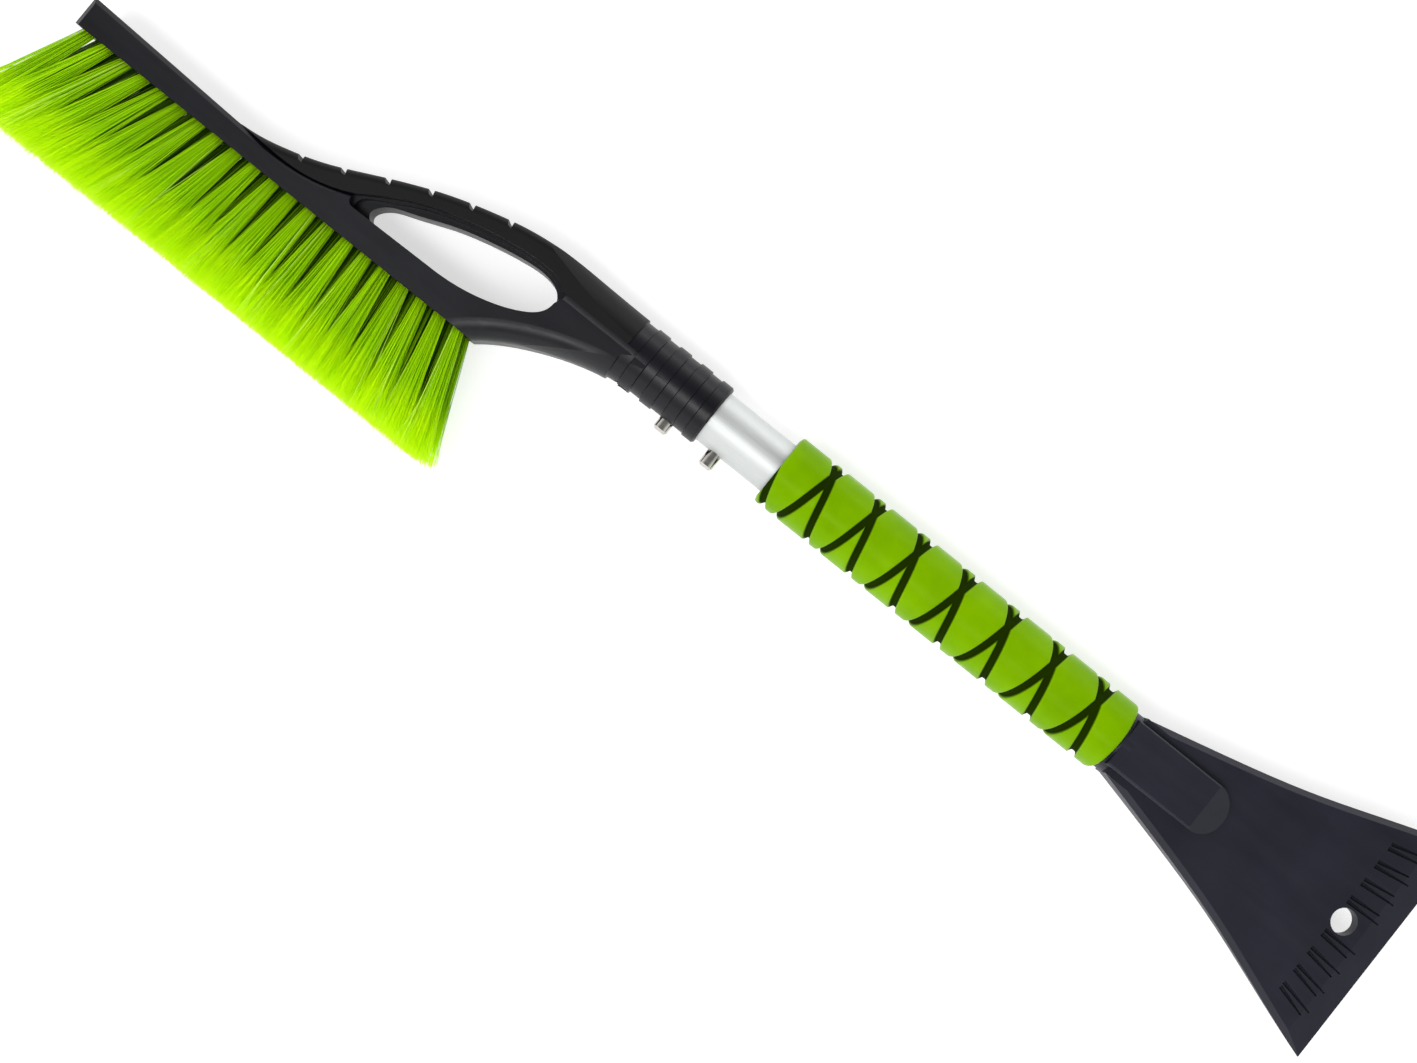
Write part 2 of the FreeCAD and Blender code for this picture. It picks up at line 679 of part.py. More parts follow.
def make_tufts(doc, s):
    """Four rows of tufts, and the end tufts of the outer rows as a group of their own."""
    made = []
    end_tufts = []
    for row, (z, places) in tuft_rows(s).items():
        solids = [tuft_solid(s, x, z) for x in places]
        if row in (1, 4):
            end_tufts += [solids[0], solids[-1], solids[len(solids) // 2]]
            solids = solids[1:len(solids) // 2] + solids[len(solids) // 2 + 1:-1]
        made.append(placed_feature(doc, "bristle_row_%d" % row, Part.makeCompound(solids)))
    made.append(placed_feature(doc, "end_tufts", Part.makeCompound(end_tufts)))
    return made


def make_tuft_staples(doc, s):
    """One flat wire staple at the bottom of every tuft hole."""
    solids = []
    for z, places in tuft_rows(s).values():
        for x in places:
            mouth, direction = tuft_line(s, x, z)
            floor = mouth - direction * s.tuft_hole_depth.value
            staple = Part.makeBox(s.staple_width.value, s.staple_height.value,
                                  s.staple_thickness.value)
            staple.translate(Vector(-s.staple_width.value / 2, -s.staple_height.value,
                                    -s.staple_thickness.value / 2))
            turn_to = Rotation(-Y_DIR, direction)
            staple.Placement = Placement(floor, turn_to).multiply(staple.Placement)
            solids.append(staple)
    return placed_feature(doc, "tuft_staples", Part.makeCompound(solids))


# ---------------------------------------------------------------- brush head

def loop_curves(s):
    """Hand-set points of the brush head's outlines, all in (x, y)."""
    foot = -s.bar_foot.value
    collar = s.collar_dia.value / 2
    return {
        # top outline of the soft grip, from inside the bar up to the collar
        "crown": [(68.0, -31.0), (80.0, -29.8), (90.0, -28.8), (103.0, -25.9), (118.5, -20.9), (135.8, -12.9),
                  (153.2, -4.6), (170.5, 2.5), (187.9, 7.9), (205.2, 12.1), (222.6, 14.3),
                  (242.0, collar)],
        # where the soft grip meets the hard panel, from the bar to the tip of the opening
        "crease": [(80.0, -29.8), (97.2, -30.4), (113.0, -30.2), (127.5, -27.2), (138.6, -22.6)],
        # rounded left end of the pocket beside the opening
        "pocket": [(138.6, -22.6), (137.9, -24.6), (138.8, -26.8), (141.5, -27.9)],
        # lower rim of the soft grip along the opening
        "rim": [(138.6, -22.6), (146.4, -17.5), (162.1, -8.9), (186.4, -0.8), (208.6, 3.4),
                (221.0, 4.2), (228.5, 3.2), (233.5, 0.0)],
        # inner edge of the step between the soft grip's rim and the hard core
        "ledge": [(140.2, -26.0), (141.2, -22.6), (147.0, -18.4), (162.4, -10.0), (186.4, -1.9),
                  (208.6, 2.3), (220.5, 3.0), (228.5, 1.5), (233.0, -3.5)],
        # inner edge of the hard core along the opening, from its left end to the right end
        "web": [(148.6, -27.2), (146.8, -24.0), (148.6, -20.4), (160.4, -13.9), (177.9, -6.9),
                (195.3, -1.9), (212.8, 1.4), (222.0, 1.8), (229.5, -0.4), (233.6, -6.0)],
        # outer edge of the hard core, inside the soft grip
        "core": [(126.0, -24.6), (144.0, -14.6), (161.5, -6.2), (179.0, 0.3), (196.5, 5.2),
                 (214.0, 8.6), (236.0, 10.6)],
        # how deep the core reaches into the lower branch on the left, and its end in the shoulder
        "core_root": [-31.0, (242.0, -6.0)],
        # top of the shoulder at the right end of the opening
        "shoulder": (236.0, 0.0),
        # lower edge of the opening, from its right end back to the left
        "sill": [(233.6, -6.0), (231.8, -11.8), (224.9, -17.4), (212.0, -22.8), (197.0, -26.2),
                 (182.0, -27.2)],
        # underside of the lower branch, from the bar's corner to the collar
        "belly": [(s.bar_length.value, foot), (222.8, -34.6), (236.0, -27.3), (252.0, -20.9),
                  (266.0, -17.2), (277.0, -15.6), (290.0, -collar)],
        # distance from the tube's axis at which the lower branch rounds into the collar
        "lower_shoulder": [(221.0, 37.0), (236.0, 28.0), (252.0, 21.2), (266.0, 17.2),
                           (277.0, 15.6), (290.0, collar)],
        # the same for the soft grip above
        "upper_shoulder": [(205.0, 19.8), (222.0, 18.3), (236.0, 16.6), (250.0, 15.55),
                           (262.0, collar + 0.25), (270.0, collar + 0.15)],
    }


def collar_profile(s):
    """Half section of the plain collar, from its mouth to its root."""
    outer = s.collar_dia / 2
    root = s.head_length - s.socket_depth - s.collar_root_wall
    return [(s.head_length, 0), (s.head_length, outer - s.collar_chamfer),
            (s.head_length - s.collar_chamfer, outer), (root, outer), (root, 0)]


def ring_groove(s, number, left_floor, right_floor):
    """Section of one ring groove between its two floor radii."""
    clear = s.collar_dia / 2 + 6
    left = s.head_length - s.collar_groove_first + s.collar_groove_pitch * number
    right = left + s.collar_groove_width
    slope = s.collar_groove / 2
    return [(left, clear), (left, left_floor + s.collar_groove),
            (left + slope, left_floor), (right - slope, right_floor),
            (right, right_floor + s.collar_groove), (right, clear)]


def cut_ring_grooves(doc, body, s):
    """Four shallow rings; the innermost follows the lower branch where it crosses it."""
    floor = s.collar_dia / 2 - s.collar_groove
    rings = new_sketch(body, "ring_groove_section", "XY_Plane")
    for number in (1, 2, 3):
        add_polygon(rings, ring_groove(s, number, floor, floor))
    turn(body, rings, "ring_grooves", groove=True)
    settle(doc)
    upper = new_sketch(body, "upper_ring_section", "XY_Plane")
    add_polygon(upper, ring_groove(s, 0, floor, floor))
    turn(body, upper, "upper_ring_groove", angle=180.0, midplane=True, groove=True)
    settle(doc)
    lower = new_sketch(body, "lower_ring_section", "XY_Plane")
    shoulder = interpolate(loop_curves(s)["lower_shoulder"])
    left = s.head_length.value - s.collar_groove_first.value
    floors = [height_at(shoulder, x) - s.shoulder_groove.value
              for x in (left, left + s.collar_groove_width.value)]
    section = ring_groove(s, 0, as_size(floors[0]), as_size(floors[1]))
    add_polygon(lower, [(x, -as_size(y)) for x, y in section])
    turn(body, lower, "lower_ring_groove", angle=180.0, midplane=True, groove=True)
    settle(doc)


def round_shoulder(doc, body, s):
    """Bring the lower branch's corners in to the collar's roundness."""
    profile = loop_curves(s)["lower_shoulder"]
    clear = s.bar_foot.value * 1.5
    start = profile[0]
    end = (s.head_length.value, profile[-1][1])
    cut = new_sketch(body, "shoulder_section", "XY_Plane")
    add_edges(cut, [interpolate(profile), line(profile[-1], end), line(end, (end[0], clear)),
                    line((end[0], clear), (start[0], clear)), line((start[0], clear), start)])
    turn(body, cut, "shoulder_round", groove=True)
    settle(doc)


def make_brush_frame(doc, s):
    """Hard moulding: bristle bar, lower branch, thin core of the hand loop and tube collar."""
    body = new_body(doc, "frame_moulding")
    draw_panel(doc, body, s)
    shape_panel_edges(doc, body, s)
    draw_web(doc, body, s, "web", s.web_thickness)
    draw_web(doc, body, s, "ledge", s.ledge_thickness)
    round_shoulder(doc, body, s)
    collar = new_sketch(body, "collar_half_section", "XY_Plane")
    add_polygon(collar, collar_profile(s))
    turn(body, collar, "collar_turned")
    settle(doc)
    cut_ring_grooves(doc, body, s)
    seat = new_sketch(body, "skin_seat_section", "XY_Plane")
    outer = s.collar_dia / 2
    seat_end = s.head_length - s.collar_groove_first
    seat_start = s.head_length - s.socket_depth - s.skin_lead
    floor = outer - s.skin_thickness
    add_polygon(seat, [(seat_start, floor), (seat_end, floor), (seat_end, outer + 1),
                       (seat_start, outer + 1)])
    turn(body, seat, "skin_seat", angle=180.0, midplane=True, groove=True)
    settle(doc)
    bore = new_sketch(body, "socket_half_section", "XY_Plane")
    depth_end = s.head_length - s.socket_depth
    bore_radius = s.tube_dia / 2 + s.bore_play
    add_polygon(bore, [(depth_end, 0), (s.head_length + 1, 0), (s.head_length + 1, bore_radius),
                       (depth_end, bore_radius)])
    turn(body, bore, "socket_bored", groove=True)
    settle(doc)
    holes = new_sketch(body, "collar_button_holes", "XZ_Plane")
    engaged = button_places(s)[0]
    for place in (engaged, engaged - s.pin_pitch):
        add_circle(holes, place, 0, s.pin_dia / 2 + s.collar_pin_play)
    settle(doc)
    cut_through(doc, body, holes, "collar_button_cut", s.bar_foot, -Y_DIR)
    drills = doc.addObject("Part::Feature", "tuft_drills")
    drills.Shape = Part.makeCompound(tuft_drills(s))
    frame = doc.addObject("Part::Cut", "brush_frame")
    frame.Label = "brush_frame"
    frame.Base = body
    frame.Tool = drills
    settle(doc)
    return frame


def tuft_drills(s):
    """Drilled holes, each along its own tuft's direction."""
    radius = s.tuft_dia.value / 2 + s.tuft_play.value
    depth = s.tuft_hole_depth.value
    overshoot = 2.0
    drills = []
    for z, places in tuft_rows(s).values():
        for x in places:
            mouth, direction = tuft_line(s, x, z)
            drills.append(Part.makeCylinder(radius, depth + overshoot,
                                            mouth - direction * depth, direction))
    return drills


def draw_panel(doc, body, s):
    """Full-thickness outline: bar, lower branch and the shoulder under the soft grip."""
    curves = loop_curves(s)
    foot = -s.bar_foot.value
    panel = new_sketch(body, "panel_outline", "XY_Plane")
    sill_end = curves["sill"][-1]
    under = (curves["belly"][-1][0], 0.0)
    loop_end = curves["shoulder"]
    add_edges(panel, [
        line((0, foot), (s.bar_length.value, foot)),
        interpolate(curves["belly"]),
        line(curves["belly"][-1], under),
        line(under, loop_end),
        line(loop_end, curves["sill"][0]),
        interpolate(curves["sill"]),
        line(sill_end, curves["pocket"][-1]),
        interpolate(list(reversed(curves["pocket"]))),
        interpolate(list(reversed(curves["crease"]))),
        line(curves["crease"][0], (0, -s.bar_top.value)),
        line((0, -s.bar_top.value), (0, foot))])
    pad(body, panel, "panel_pad", s.panel_thickness, midplane=True)
    settle(doc)


def middle_of(edge):
    return edge.valueAt((edge.FirstParameter + edge.LastParameter) / 2)


def shape_panel_edges(doc, body, s):
    """Round the lower branch underneath and bevel the top of the bar."""
    face_level = s.panel_thickness.value / 2

    def on_face(edge):
        return abs(abs(middle_of(edge).z) - face_level) < 0.01

    def on_belly(edge):
        corner = Vector(s.bar_length.value, -s.bar_foot.value, middle_of(edge).z)
        meets_bar = min(corner.distanceToPoint(vertex.Point) for vertex in edge.Vertexes) < 0.01
        return on_face(edge) and meets_bar and edge.Length < s.bar_length.value / 2

    tip = body.Tip
    rounding = body.newObject("PartDesign::Fillet", "belly_round")
    rounding.Base = (tip, long_edges(tip.Shape, on_belly))
    rounding.Radius = s.branch_round.value
    rounding.setExpression("Radius", s.branch_round.text)
    settle(doc)

    def on_bar_top(edge):
        middle = middle_of(edge)
        return on_face(edge) and middle.x < s.grip_root.value and middle.y > -s.bar_foot.value + 5

    tip = body.Tip
    bevel = body.newObject("PartDesign::Chamfer", "bar_bevel_cut")
    bevel.Base = (tip, long_edges(tip.Shape, on_bar_top))
    bevel.Size = s.bar_bevel.value
    bevel.setExpression("Size", s.bar_bevel.text)
    settle(doc)

    def on_crease(edge):
        middle = middle_of(edge)
        beside_grip = s.grip_root.value < middle.x < loop_curves(s)["crease"][-1][0]
        return on_face(edge) and beside_grip and middle.y > -s.bar_foot.value + 5

    tip = body.Tip
    crease = body.newObject("PartDesign::Chamfer", "crease_cut")
    crease.Base = (tip, long_edges(tip.Shape, on_crease))
    crease.Size = s.crease_depth.value
    crease.setExpression("Size", s.crease_depth.text)
    settle(doc)


def draw_web(doc, body, s, name, thickness):
    """One layer of the hand loop's hard core, hidden in the soft grip except along the opening."""
    curves = loop_curves(s)
    inner = curves[name]
    outer = curves["core"]
    left = outer[0][0]
    foot, right = curves["core_root"]
    layer = new_sketch(body, name + "_outline", "XY_Plane")
    add_edges(layer, [
        interpolate(inner),
        line(inner[-1], right),
        line(right, outer[-1]),
        interpolate(list(reversed(outer))),
        line(outer[0], (left, foot)),
        line((left, foot), (inner[0][0], foot)),
        line((inner[0][0], foot), inner[0])])
    pad(body, layer, name + "_pad", thickness, midplane=True)
    settle(doc)


def slab(curves, half):
    """Plate from -half to +half in Z inside a closed outline of curves."""
    outline = Part.Face(Part.Wire([curve.toShape() for curve in curves]))
    plate = outline.extrude(Vector(0, 0, 2 * half))
    plate.translate(Vector(0, 0, -half))
    return plate


def chain(corners):
    """Straight lines through a list of corners."""
    return [line(a, b) for a, b in zip(corners, corners[1:])]


def make_soft_grip(doc, s, frame):
    """Soft overmoulding: crown of the hand loop with finger notches, and a skin on the collar."""
    curves = loop_curves(s)
    half = s.panel_thickness.value / 2
    skin_end = s.head_length.value - s.collar_groove_first.value
    low = -s.bar_foot.value
    high = s.bar_foot.value
    crown_start = curves["crown"][0]
    crown_end = curves["crown"][-1]
    rounded = slab([interpolate(curves["crown"])]
                   + chain([crown_end, (skin_end, crown_end[1]), (skin_end, low),
                            (crown_start[0], low), crown_start]), half)
    crown_edges = [edge for edge in rounded.Edges
                   if abs(abs(middle_of(edge).z) - half) < 0.01 and edge.Length > 150
                   and middle_of(edge).y > low + 1]
    rounded = rounded.makeFillet(s.grip_round.value, crown_edges)
    crease = interpolate(curves["crease"])
    crease_start = s.grip_root.value
    seam = [(skin_end, curves["rim"][-1][1]), curves["rim"][-1]]
    foot = (crease_start, height_at(crease, crease_start))
    crease.segment(crease.parameter(Vector(foot[0], foot[1], 0)), crease.LastParameter)
    crease.reverse()
    outline = slab([interpolate(list(reversed(curves["rim"]))), crease]
                   + chain([foot, (foot[0], high), (skin_end, high)] + seam), half)
    grip = rounded.common(outline).common(shoulder_envelope(s))
    for notch in finger_notches(s):
        grip = grip.cut(notch)
    grip = grip.cut(frame.Shape).removeSplitter()
    biggest = max(grip.Solids, key=lambda solid: solid.Volume)
    return placed_feature(doc, "soft_grip", biggest)


def shoulder_envelope(s):
    """Turned solid that the soft grip stays inside as it rounds into the collar."""
    profile = loop_curves(s)["upper_shoulder"]
    clear = s.bar_foot.value * 1.5
    start = profile[0]
    end = profile[-1]
    corners = [(end[0], 0.0), (0.0, 0.0), (0.0, clear), (start[0], clear), start]
    edges = [interpolate(profile).toShape(), line(end, corners[0]).toShape()]
    edges += [line(a, b).toShape() for a, b in zip(corners, corners[1:])]
    return Part.Face(Part.Wire(edges)).revolve(Vector(0, 0, 0), X_DIR, 360)


def finger_notches(s):
    """Six notches across the crown: a steep wall facing the bar, a rounded run-out behind."""
    crown = interpolate(loop_curves(s)["crown"])
    depth = s.notch_depth.value
    width = s.notch_width.value
    above = 2.0
    across = Vector(0, 0, 2 * s.panel_thickness.value)
    notches = []
    for number in range(int(s.notch_count.value)):
        x = s.notch_first.value + s.notch_pitch.value * number
        parameter = crown.parameter(Vector(x, height_at(crown, x), 0))
        top = crown.value(parameter)
        along = crown.tangent(parameter)[0]
        if along.x < 0:
            along = -along
        inward = Vector(along.y, -along.x, 0)
        corners = [top - inward * above,
                   top + inward * depth,
                   top + inward * depth * 0.8 - along * width * 0.6,
                   top - along * width,
                   top - along * width * 1.8 - inward * above]
        face = Part.Face(Part.makePolygon([c - across / 2 for c in corners + corners[:1]]))
        notches.append(face.extrude(across))
    return notches


# ---------------------------------------------------------------- assembly

def build(doc):
    s = Sheet(doc)
    pieces = [make_handle_tube(doc, s), make_tube_plug(doc, s),
              make_foam_core(doc, s), make_foam_cover(doc, s),
              make_scraper_blade(doc, s), make_scraper_screws(doc, s)]
    engaged, free = button_places(s)
    for label, place in (("head_lock_button", engaged), ("grip_lock_button", free)):
        pieces.append(make_lock_button(doc, s, label))
        pieces[-1].Placement.Base = Vector(place.value, 0, 0)
    for label, place, towards in (("head_lock_spring", engaged, -1),
                                  ("grip_lock_spring", free, 1)):
        pieces.append(make_lock_spring(doc, s, label, towards))
        pieces[-1].Placement.Base = Vector(place.value, 0, 0)
    frame = make_brush_frame(doc, s)
    pieces.append(frame)
    pieces.append(make_soft_grip(doc, s, frame))
    pieces += make_tufts(doc, s)
    pieces.append(make_tuft_staples(doc, s))
    settle(doc)
    return s, pieces


def stand_on_origin(doc, pieces):
    """Shift every piece so that the origin is the bottom centre of the whole tool."""
    box = FreeCAD.BoundBox()
    for piece in pieces:
        box.add(piece.Shape.optimalBoundingBox(False, False))
    shift = Vector(-(box.XMin + box.XMax) / 2, -(box.YMin + box.YMax) / 2, -box.ZMin)
    for piece in pieces:
        piece.Placement.Base = piece.Placement.Base + shift
    settle(doc)
    return shift


def main():
    doc = FreeCAD.newDocument("snow_brush")
    s, pieces = build(doc)
    shift = stand_on_origin(doc, pieces)
    os.makedirs("parts", exist_ok=True)
    for piece in pieces:
        shape = piece.Shape
        if shape.isNull() or not shape.isValid():
            raise ValueError("%s has no valid shape" % piece.Label)
    for piece in pieces:
        piece.Shape.exportStep("parts/%s.step" % piece.Label)
        box = piece.Shape.BoundBox
        print("%-18s %9.0f mm3  %d solids  x %.1f..%.1f  y %.1f..%.1f  z %.1f..%.1f" % (
            piece.Label, piece.Shape.Volume, len(piece.Shape.Solids),
            box.XMin, box.XMax, box.YMin, box.YMax, box.ZMin, box.ZMax))
    print("tube axis at y = %.4f, z = %.4f; bar's free end at x = %.4f" % (shift.y, shift.z, shift.x))


main()
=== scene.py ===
"""Snow brush scraper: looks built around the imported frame, in metres.

+X runs from the brush to the scraper, the bristles point along -Y and +Z faces the camera.
"""
import math

import bpy
import numpy as np
from mathutils import Euler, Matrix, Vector


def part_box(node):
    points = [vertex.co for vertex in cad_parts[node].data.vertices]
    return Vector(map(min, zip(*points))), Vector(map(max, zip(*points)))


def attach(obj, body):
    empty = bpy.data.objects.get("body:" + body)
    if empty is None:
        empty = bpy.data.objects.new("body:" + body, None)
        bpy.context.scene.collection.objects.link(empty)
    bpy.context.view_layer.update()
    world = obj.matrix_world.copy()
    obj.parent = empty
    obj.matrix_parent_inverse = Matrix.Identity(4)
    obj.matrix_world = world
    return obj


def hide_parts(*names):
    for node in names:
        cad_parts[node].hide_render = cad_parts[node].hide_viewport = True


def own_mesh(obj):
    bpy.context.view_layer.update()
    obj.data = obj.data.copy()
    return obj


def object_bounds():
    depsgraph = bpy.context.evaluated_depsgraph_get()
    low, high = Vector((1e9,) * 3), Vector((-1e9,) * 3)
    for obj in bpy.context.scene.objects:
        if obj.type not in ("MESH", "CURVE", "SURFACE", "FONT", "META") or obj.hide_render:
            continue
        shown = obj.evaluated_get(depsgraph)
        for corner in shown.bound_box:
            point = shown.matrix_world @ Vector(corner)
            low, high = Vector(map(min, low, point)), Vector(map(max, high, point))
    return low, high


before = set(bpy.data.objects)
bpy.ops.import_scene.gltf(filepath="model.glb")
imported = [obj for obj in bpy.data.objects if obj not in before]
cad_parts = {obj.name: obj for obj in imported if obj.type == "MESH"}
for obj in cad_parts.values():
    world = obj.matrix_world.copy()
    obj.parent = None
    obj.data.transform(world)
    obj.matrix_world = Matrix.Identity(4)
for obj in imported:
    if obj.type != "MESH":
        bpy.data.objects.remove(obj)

CAD_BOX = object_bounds()
MM = 0.001
SEED = 7
BLACK = (0.0, 0.0, 0.0)
WHITE = (1.0, 1.0, 1.0)

# ---------------------------------------------------------------- places taken from the frame

TUBE_LOW, TUBE_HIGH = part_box("handle_tube")
AXIS_Y = (TUBE_LOW.y + TUBE_HIGH.y) / 2
AXIS_Z = (TUBE_LOW.z + TUBE_HIGH.z) / 2
BAR_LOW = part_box("brush_frame")[0]
BRISTLE_LOW = min(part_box("bristle_row_%d" % row)[0].y for row in (1, 2, 3, 4))


# ---------------------------------------------------------------- material helpers

def set_stops(ramp_node, stops):
    """Put (position, (r, g, b)) stops on a colour ramp node."""
    elements = ramp_node.color_ramp.elements
    while len(elements) < len(stops):
        elements.new(0.5)
    for element, (position, colour) in zip(elements, stops):
        element.position = position
        element.color = (*colour, 1.0)


class Look:
    """A material with one Principled shader and short ways to add nodes to it."""

    def __init__(self, name, **sockets):
        self.material = bpy.data.materials.new(name)
        self.material.use_nodes = True
        self.tree = self.material.node_tree
        self.shader = self.tree.nodes["Principled BSDF"]
        for socket, value in sockets.items():
            self.shader.inputs[socket.replace("_", " ")].default_value = value
        self.place = self.add("ShaderNodeTexCoord").outputs["Object"]

    def add(self, kind, **settings):
        node = self.tree.nodes.new(kind)
        for key, value in settings.items():
            setattr(node, key, value)
        return node

    def link(self, output, target):
        self.tree.links.new(output, target)

    def stretched(self, x, y, z):
        """Object coordinates with each axis scaled."""
        mapping = self.add("ShaderNodeMapping")
        mapping.inputs["Scale"].default_value = (x, y, z)
        self.link(self.place, mapping.inputs["Vector"])
        return mapping.outputs["Vector"]

    def noise(self, scale, detail=3.0, roughness=0.5, vector=None):
        node = self.add("ShaderNodeTexNoise")
        node.inputs["Scale"].default_value = scale
        node.inputs["Detail"].default_value = detail
        node.inputs["Roughness"].default_value = roughness
        self.link(vector or self.place, node.inputs["Vector"])
        return node.outputs["Fac"]

    def cells(self, scale):
        node = self.add("ShaderNodeTexVoronoi")
        node.inputs["Scale"].default_value = scale
        self.link(self.place, node.inputs["Vector"])
        return node.outputs["Distance"]

    def remap(self, value, low, high, new_low, new_high):
        node = self.add("ShaderNodeMapRange")
        self.link(value, node.inputs["Value"])
        for socket, number in (("From Min", low), ("From Max", high),
                               ("To Min", new_low), ("To Max", new_high)):
            node.inputs[socket].default_value = number
        return node.outputs["Result"]

    def ramp(self, value, stops):
        """Colour ramp through (position, (r, g, b)) stops."""
        node = self.add("ShaderNodeValToRGB")
        set_stops(node, stops)
        self.link(value, node.inputs["Fac"])
        return node.outputs["Color"]

    def mix(self, factor, first, second, blend="MIX"):
        """Mix two colours; each is an output socket or an (r, g, b) triple."""
        node = self.add("ShaderNodeMix", data_type="RGBA", blend_type=blend)
        for socket, value in (("Factor", factor), ("A", first), ("B", second)):
            target = [s for s in node.inputs if s.name == socket and s.enabled][0]
            if isinstance(value, (int, float)):
                target.default_value = value
            elif isinstance(value, tuple):
                target.default_value = (*value, 1.0)
            else:
                self.link(value, target)
        return [s for s in node.outputs if s.enabled][0]

    def attribute(self, name):
        return self.add("ShaderNodeAttribute", attribute_name=name).outputs["Fac"]

    def colour(self, output):
        self.link(output, self.shader.inputs["Base Color"])

    def rough(self, output):
        self.link(output, self.shader.inputs["Roughness"])

    def bump(self, *layers):
        """Stack bumps; each layer is (height output, height in metres)."""
        previous = None
        for height, depth in layers:
            node = self.add("ShaderNodeBump")
            node.inputs["Strength"].default_value = 1.0
            node.inputs["Distance"].default_value = depth
            self.link(height, node.inputs["Height"])
            if previous is not None:
                self.link(previous, node.inputs["Normal"])
            previous = node.outputs["Normal"]
        self.link(previous, self.shader.inputs["Normal"])


def moulded_plastic(name, dark, light, roughness, grain_depth, shine):
    """Satin injection-moulded plastic: spark-eroded grain, faint mottling and handling marks."""
    look = Look(name, IOR=1.46, Specular_IOR_Level=shine)
    mottle = look.noise(38.0, 4.0)
    look.colour(look.ramp(mottle, [(0.3, dark), (0.7, light)]))
    marks = look.noise(9.0, 6.0, 0.7, look.stretched(1.0, 14.0, 14.0))
    look.rough(look.remap(marks, 0.3, 0.7, roughness - 0.06, roughness + 0.08))
    grain = look.noise(2600.0, 2.0)
    look.bump((grain, grain_depth), (mottle, 0.06 * MM))
    return look.material


def brushed_aluminium():
    look = Look("tube_aluminium", Metallic=0.9, IOR=1.5)
    streaks = look.noise(60.0, 4.0, 0.6, look.stretched(1.0, 40.0, 40.0))
    look.colour(look.ramp(streaks, [(0.3, (0.56, 0.58, 0.575)), (0.7, (0.62, 0.64, 0.63))]))
    look.rough(look.remap(streaks, 0.3, 0.7, 0.50, 0.60))
    drawn_lines = look.noise(900.0, 3.0, 0.6, look.stretched(1.0, 6.0, 6.0))
    look.bump((drawn_lines, 0.006 * MM))
    return look.material


def plated_steel(name, bright, roughness):
    look = Look(name, Metallic=1.0, IOR=2.0)
    cloud = look.noise(350.0, 3.0)
    dull = tuple(0.8 * c for c in bright)
    look.colour(look.ramp(cloud, [(0.35, dull), (0.65, bright)]))
    look.rough(look.remap(cloud, 0.3, 0.7, roughness * 0.7, roughness * 1.5))
    look.bump((look.noise(1600.0, 2.0), 0.008 * MM))
    return look.material


def foam_surface():
    """Closed-cell foam: smooth green skin with a painted highlight on the groove shoulders, dark and
    dull where the grooves are cut into it.
    """
    look = Look("foam_green", IOR=1.3, Specular_IOR_Level=0.2, Specular_Tint=(0.7, 1.0, 0.15, 1.0))
    skin = look.ramp(look.noise(55.0, 4.0), [(0.3, (0.155, 0.34, 0.0)), (0.7, (0.195, 0.41, 0.0))])
    # painted highlight: a lighter band where the skin starts to dip into a groove; deeper in, the
    # skin turns dark towards the groove floor
    cut = look.ramp(look.attribute("cut_depth"),
                    [(0.0, WHITE), (0.12, (1.15, 1.12, 1.0)), (0.3, (0.5, 0.5, 0.5)),
                     (0.62, (0.06, 0.07, 0.06))])
    look.colour(look.mix(1.0, skin, cut, "MULTIPLY"))
    satin = look.remap(look.noise(30.0, 5.0), 0.3, 0.7, 0.24, 0.36)
    in_groove = look.remap(look.attribute("cut_depth"), 0.2, 0.6, 0.0, 1.0)
    look.rough(look.mix(in_groove, satin, WHITE))
    pores = look.cells(1500.0)
    look.bump((pores, 0.02 * MM), (look.noise(260.0, 3.0), 0.06 * MM))
    return look.material


def foam_inside():
    look = Look("foam_dark", Roughness=0.85)
    pores = look.cells(900.0)
    look.colour(look.ramp(pores, [(0.1, (0.006, 0.010, 0.003)), (0.8, (0.014, 0.022, 0.006))]))
    look.bump((pores, 0.1 * MM))
    return look.material


# painted glow: the tips give off light of their own, standing in for light that passes through them
TIP_GLOW = 0.12  # light that the thin clear tips pass on


def bristle_nylon():
    """Lime filaments with painted shade in the hole and deep inside the brush; brightest at the
    split tips, where a painted glow is added.
    """
    look = Look("bristle_lime", Roughness=0.45, IOR=1.5, Specular_IOR_Level=0.2,
                Specular_Tint=(0.8, 1.0, 0.4, 1.0))
    # painted shade at the root, where the filaments sit in the hole; lighter towards the split tips
    along = look.ramp(look.attribute("along"),
                      [(0.0, (0.12, 0.26, 0.0)), (0.12, (0.36, 0.70, 0.0)),
                       (0.6, (0.44, 0.86, 0.0)), (0.78, (0.62, 0.98, 0.0)),
                       (1.0, (0.64, 1.0, 0.0))])
    tone = look.ramp(look.attribute("strand"),
                     [(0.0, (0.74, 0.78, 1.0)), (0.5, (0.96, 0.98, 1.0)), (0.9, (1.08, 1.03, 1.0))])
    shaded = look.mix(1.0, along, tone, "MULTIPLY")
    stray = look.remap(look.attribute("strand"), 0.93, 1.0, 0.0, 0.35)
    pale = look.mix(stray, shaded, (0.70, 0.92, 0.25))
    # painted shade: the depth attribute darkens filaments deep between the rows near the bar
    depth = look.ramp(look.attribute("depth"),
                      [(0.0, WHITE), (0.5, (0.42, 0.50, 0.5)), (1.0, (0.08, 0.13, 0.1))])
    look.colour(look.mix(1.0, pale, depth, "MULTIPLY"))
    # painted glow: emission towards the tips
    glow = look.ramp(look.attribute("along"), [(0.55, BLACK), (0.9, (0.62, 0.92, 0.0))])
    look.link(glow, look.shader.inputs["Emission Color"])
    look.shader.inputs["Emission Strength"].default_value = TIP_GLOW
    look.bump((look.noise(1200.0, 2.0), 0.02 * MM))
    return look.material


TABLE_GLOW = 0.62  # light that the white table gives off itself


